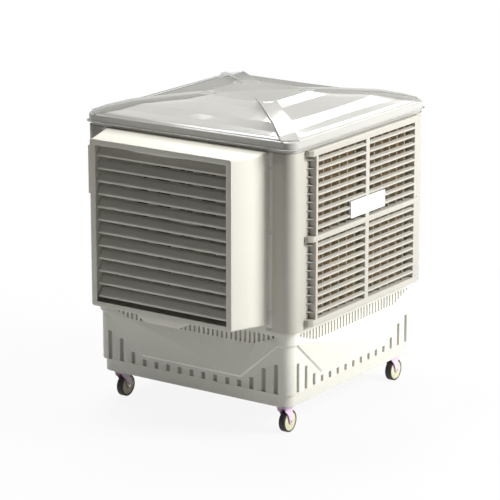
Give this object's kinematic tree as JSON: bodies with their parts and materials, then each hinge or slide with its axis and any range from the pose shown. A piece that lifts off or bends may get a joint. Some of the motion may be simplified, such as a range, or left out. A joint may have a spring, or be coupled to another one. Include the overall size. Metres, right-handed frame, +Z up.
{
  "type": "evaporative cooler",
  "caption": "Mobile evaporative cooler on castors with a water tank, three wetted pad walls, an axial fan and a louvred front outlet hood.",
  "frame": {"origin": "centre of the bounding box's floor, where the castors stand", "axes": "+Z up along the tallest side, +X to the right seen from the outlet's side, -Y out of the louvred outlet"},
  "size_m": [1.1764, 1.329, 1.402],
  "materials": {
    "tank_plastic": "satin ivory moulded plastic",
    "case_plastic": "satin ivory moulded plastic",
    "lid_plastic": "glossy pale ivory plastic",
    "plate_plastic": "smooth pale plastic plate",
    "pad_paper": "tan corrugated cellulose paper",
    "motor_metal": "dark grey paint",
    "guard_wire": "dark coated wire",
    "fan_plastic": "dark moulded plastic",
    "fitting_plastic": "grey plastic pipe and fittings",
    "castor_metal": "zinc plated steel",
    "fork_plastic": "lilac pink moulded plastic",
    "wheel_rubber": "black tread",
    "knob_plastic": "dark plastic knob"
  },
  "bodies": {
    "case": {"water_tank": "tank_plastic", "base_frame": "case_plastic", "lid": "lid_plastic", "corner_posts": "case_plastic", "front_panel": "case_plastic", "outlet_hood": "case_plastic", "louvre_frame": "case_plastic", "right_grille": "case_plastic", "left_grille": "case_plastic", "rear_grille": "case_plastic", "right_pad": "pad_paper", "left_pad": "pad_paper", "rear_pad": "pad_paper", "name_plate": "plate_plastic", "swing_motor": "motor_metal", "fan_motor": "motor_metal", "fan_ring": "case_plastic", "fan_guard": "guard_wire", "motor_bracket": "motor_metal", "water_pump": "fitting_plastic", "riser_pipe": "fitting_plastic", "water_header": "fitting_plastic", "float_valve": "fitting_plastic", "drain_plug": "fitting_plastic", "cable_gland": "fitting_plastic", "control_box": "case_plastic", "castor_plates": "castor_metal", "panel_screws": "castor_metal"},
    "fork_front_right": {"castor_fork_front_right": "fork_plastic"},
    "wheel_front_right": {"castor_wheel_front_right": "wheel_rubber"},
    "pedal_front_right": {"brake_pedal_front_right": "fork_plastic"},
    "fork_rear_right": {"castor_fork_rear_right": "fork_plastic"},
    "wheel_rear_right": {"castor_wheel_rear_right": "wheel_rubber"},
    "pedal_rear_right": {"brake_pedal_rear_right": "fork_plastic"},
    "fork_rear_left": {"castor_fork_rear_left": "fork_plastic"},
    "wheel_rear_left": {"castor_wheel_rear_left": "wheel_rubber"},
    "fork_front_left": {"castor_fork_front_left": "fork_plastic"},
    "wheel_front_left": {"castor_wheel_front_left": "wheel_rubber"},
    "louvre_01": {"louvre_01": "case_plastic"},
    "louvre_02": {"louvre_02": "case_plastic"},
    "louvre_03": {"louvre_03": "case_plastic"},
    "louvre_04": {"louvre_04": "case_plastic"},
    "louvre_05": {"louvre_05": "case_plastic"},
    "louvre_06": {"louvre_06": "case_plastic"},
    "louvre_07": {"louvre_07": "case_plastic"},
    "louvre_08": {"louvre_08": "case_plastic"},
    "louvre_09": {"louvre_09": "case_plastic"},
    "louvre_10": {"louvre_10": "case_plastic"},
    "louvre_11": {"louvre_11": "case_plastic"},
    "louvre_12": {"louvre_12": "case_plastic"},
    "louvre_tie": {"louvre_tie_bar": "fitting_plastic"},
    "vane_1": {"vane_1": "case_plastic"},
    "vane_2": {"vane_2": "case_plastic"},
    "vane_3": {"vane_3": "case_plastic"},
    "vane_4": {"vane_4": "case_plastic"},
    "vane_5": {"vane_5": "case_plastic"},
    "vane_tie": {"vane_tie_bar": "fitting_plastic"},
    "fan": {"fan_rotor": "fan_plastic"},
    "float": {"float_arm": "fitting_plastic"},
    "knob": {"speed_knob": "knob_plastic"}
  },
  "joints": [
    {"name": "swivel_front_right", "type": "hinge", "parent": "case", "child": "fork_front_right", "pos_m": [0.444, -0.3645, 0.12], "axis": [0, 0, 1], "continuous": true},
    {"name": "roll_front_right", "type": "hinge", "parent": "fork_front_right", "child": "wheel_front_right", "pos_m": [0.444, -0.3365, 0.05], "axis": [1, 0, 0], "continuous": true},
    {"name": "brake_front_right", "type": "hinge", "parent": "fork_front_right", "child": "pedal_front_right", "pos_m": [0.444, -0.3405, 0.1135], "axis": [1, 0, 0], "range_deg": [-6, 0]},
    {"name": "swivel_rear_right", "type": "hinge", "parent": "case", "child": "fork_rear_right", "pos_m": [0.444, 0.5235, 0.12], "axis": [0, 0, 1], "continuous": true},
    {"name": "roll_rear_right", "type": "hinge", "parent": "fork_rear_right", "child": "wheel_rear_right", "pos_m": [0.444, 0.5515, 0.05], "axis": [1, 0, 0], "continuous": true},
    {"name": "brake_rear_right", "type": "hinge", "parent": "fork_rear_right", "child": "pedal_rear_right", "pos_m": [0.444, 0.5475, 0.1135], "axis": [1, 0, 0], "range_deg": [-6, 0]},
    {"name": "swivel_rear_left", "type": "hinge", "parent": "case", "child": "fork_rear_left", "pos_m": [-0.444, 0.5235, 0.12], "axis": [0, 0, 1], "continuous": true},
    {"name": "roll_rear_left", "type": "hinge", "parent": "fork_rear_left", "child": "wheel_rear_left", "pos_m": [-0.444, 0.5515, 0.05], "axis": [1, 0, 0], "continuous": true},
    {"name": "swivel_front_left", "type": "hinge", "parent": "case", "child": "fork_front_left", "pos_m": [-0.444, -0.3645, 0.12], "axis": [0, 0, 1], "continuous": true},
    {"name": "roll_front_left", "type": "hinge", "parent": "fork_front_left", "child": "wheel_front_left", "pos_m": [-0.444, -0.3365, 0.05], "axis": [1, 0, 0], "continuous": true},
    {"name": "tilt_louvre_01", "type": "hinge", "parent": "case", "child": "louvre_01", "pos_m": [0, -0.6265, 1.22704], "axis": [-1, 0, 0], "range_deg": [-25, 40]},
    {"name": "tilt_louvre_02", "type": "hinge", "parent": "case", "child": "louvre_02", "pos_m": [0, -0.6265, 1.1694], "axis": [-1, 0, 0], "range_deg": [-25, 40]},
    {"name": "tilt_louvre_03", "type": "hinge", "parent": "case", "child": "louvre_03", "pos_m": [0, -0.6265, 1.11176], "axis": [-1, 0, 0], "range_deg": [-25, 40]},
    {"name": "tilt_louvre_04", "type": "hinge", "parent": "case", "child": "louvre_04", "pos_m": [0, -0.6265, 1.05412], "axis": [-1, 0, 0], "range_deg": [-25, 40]},
    {"name": "tilt_louvre_05", "type": "hinge", "parent": "case", "child": "louvre_05", "pos_m": [0, -0.6265, 0.99648], "axis": [-1, 0, 0], "range_deg": [-25, 40]},
    {"name": "tilt_louvre_06", "type": "hinge", "parent": "case", "child": "louvre_06", "pos_m": [0, -0.6265, 0.93884], "axis": [-1, 0, 0], "range_deg": [-25, 40]},
    {"name": "tilt_louvre_07", "type": "hinge", "parent": "case", "child": "louvre_07", "pos_m": [0, -0.6265, 0.8812], "axis": [-1, 0, 0], "range_deg": [-25, 40]},
    {"name": "tilt_louvre_08", "type": "hinge", "parent": "case", "child": "louvre_08", "pos_m": [0, -0.6265, 0.82356], "axis": [-1, 0, 0], "range_deg": [-25, 40]},
    {"name": "tilt_louvre_09", "type": "hinge", "parent": "case", "child": "louvre_09", "pos_m": [0, -0.6265, 0.76592], "axis": [-1, 0, 0], "range_deg": [-25, 40]},
    {"name": "tilt_louvre_10", "type": "hinge", "parent": "case", "child": "louvre_10", "pos_m": [0, -0.6265, 0.70828], "axis": [-1, 0, 0], "range_deg": [-25, 40]},
    {"name": "tilt_louvre_11", "type": "hinge", "parent": "case", "child": "louvre_11", "pos_m": [0, -0.6265, 0.65064], "axis": [-1, 0, 0], "range_deg": [-25, 40]},
    {"name": "tilt_louvre_12", "type": "hinge", "parent": "case", "child": "louvre_12", "pos_m": [0, -0.6265, 0.593], "axis": [-1, 0, 0], "range_deg": [-25, 40]},
    {"name": "pin_louvre_tie", "type": "hinge", "parent": "louvre_06", "child": "louvre_tie", "pos_m": [0.348, -0.60811, 0.95723], "axis": [-1, 0, 0], "range_deg": [-40, 25]},
    {"name": "swing_vane_1", "type": "hinge", "parent": "case", "child": "vane_1", "pos_m": [-0.24, -0.5605, 0.9], "axis": [0, 0, 1], "range_deg": [-30, 30]},
    {"name": "swing_vane_2", "type": "hinge", "parent": "case", "child": "vane_2", "pos_m": [-0.12, -0.5605, 0.9], "axis": [0, 0, 1], "range_deg": [-30, 30]},
    {"name": "swing_vane_3", "type": "hinge", "parent": "case", "child": "vane_3", "pos_m": [0, -0.5605, 0.9], "axis": [0, 0, 1], "range_deg": [-30, 30]},
    {"name": "swing_vane_4", "type": "hinge", "parent": "case", "child": "vane_4", "pos_m": [0.12, -0.5605, 0.9], "axis": [0, 0, 1], "range_deg": [-30, 30]},
    {"name": "swing_vane_5", "type": "hinge", "parent": "case", "child": "vane_5", "pos_m": [0.24, -0.5605, 0.9], "axis": [0, 0, 1], "range_deg": [-30, 30]},
    {"name": "pin_vane_tie", "type": "hinge", "parent": "vane_3", "child": "vane_tie", "pos_m": [0, -0.5305, 0.546], "axis": [0, 0, 1], "range_deg": [-30, 30]},
    {"name": "fan_spin", "type": "hinge", "parent": "case", "child": "fan", "pos_m": [0, -0.4005, 0.8965], "axis": [0, 1, 0], "continuous": true},
    {"name": "float_swing", "type": "hinge", "parent": "case", "child": "float", "pos_m": [-0.469, 0.3295, 0.44], "axis": [0, 1, 0], "range_deg": [0, 40]},
    {"name": "speed_turn", "type": "hinge", "parent": "case", "child": "knob", "pos_m": [-0.5782, -0.3935, 1.1084], "axis": [-1, 0, 0], "range_deg": [0, 270]}
  ],
  "couplings": [
    {"joint": "tilt_louvre_02", "follows": "tilt_louvre_01", "ratio": 1},
    {"joint": "tilt_louvre_03", "follows": "tilt_louvre_01", "ratio": 1},
    {"joint": "tilt_louvre_04", "follows": "tilt_louvre_01", "ratio": 1},
    {"joint": "tilt_louvre_05", "follows": "tilt_louvre_01", "ratio": 1},
    {"joint": "tilt_louvre_06", "follows": "tilt_louvre_01", "ratio": 1},
    {"joint": "tilt_louvre_07", "follows": "tilt_louvre_01", "ratio": 1},
    {"joint": "tilt_louvre_08", "follows": "tilt_louvre_01", "ratio": 1},
    {"joint": "tilt_louvre_09", "follows": "tilt_louvre_01", "ratio": 1},
    {"joint": "tilt_louvre_10", "follows": "tilt_louvre_01", "ratio": 1},
    {"joint": "tilt_louvre_11", "follows": "tilt_louvre_01", "ratio": 1},
    {"joint": "tilt_louvre_12", "follows": "tilt_louvre_01", "ratio": 1},
    {"joint": "pin_louvre_tie", "follows": "tilt_louvre_01", "ratio": -1},
    {"joint": "swing_vane_2", "follows": "swing_vane_1", "ratio": 1},
    {"joint": "swing_vane_3", "follows": "swing_vane_1", "ratio": 1},
    {"joint": "swing_vane_4", "follows": "swing_vane_1", "ratio": 1},
    {"joint": "swing_vane_5", "follows": "swing_vane_1", "ratio": 1},
    {"joint": "pin_vane_tie", "follows": "swing_vane_1", "ratio": -1}
  ]
}
